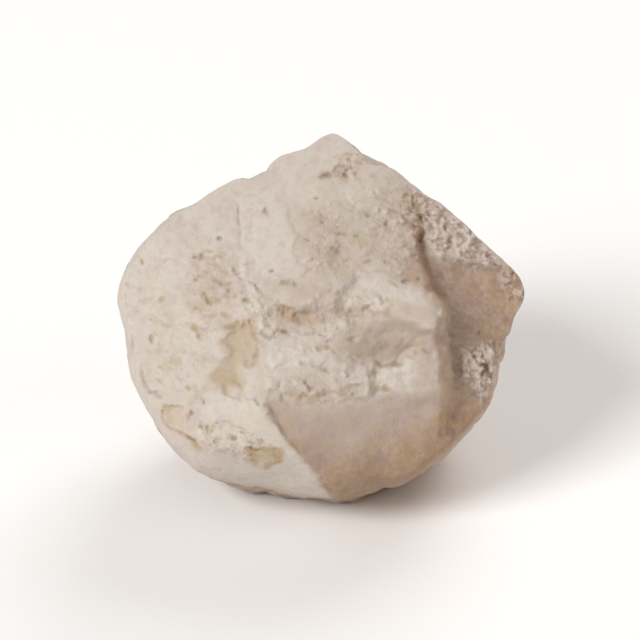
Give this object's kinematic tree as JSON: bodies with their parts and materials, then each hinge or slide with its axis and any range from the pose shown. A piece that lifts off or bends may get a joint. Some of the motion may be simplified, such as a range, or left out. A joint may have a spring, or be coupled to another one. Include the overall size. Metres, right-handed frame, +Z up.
{
  "type": "thenardite specimen",
  "caption": "Rounded whitish mineral lump with a stepped, partly cleaved show face, a shaded side wing beyond a narrow gap and a small flat underside that it rests on.",
  "frame": {"origin": "middle of the bounding box, on the surface that the lump rests on", "axes": "+Z up, +X along the lump's widest span, -Y towards the side that the show face looks to, which leans back"},
  "size_m": [0.0812, 0.0672, 0.0714],
  "materials": {
    "thenardite": "matte"
  },
  "bodies": {
    "root": {"thenardite": "thenardite"}
  },
  "joints": []
}
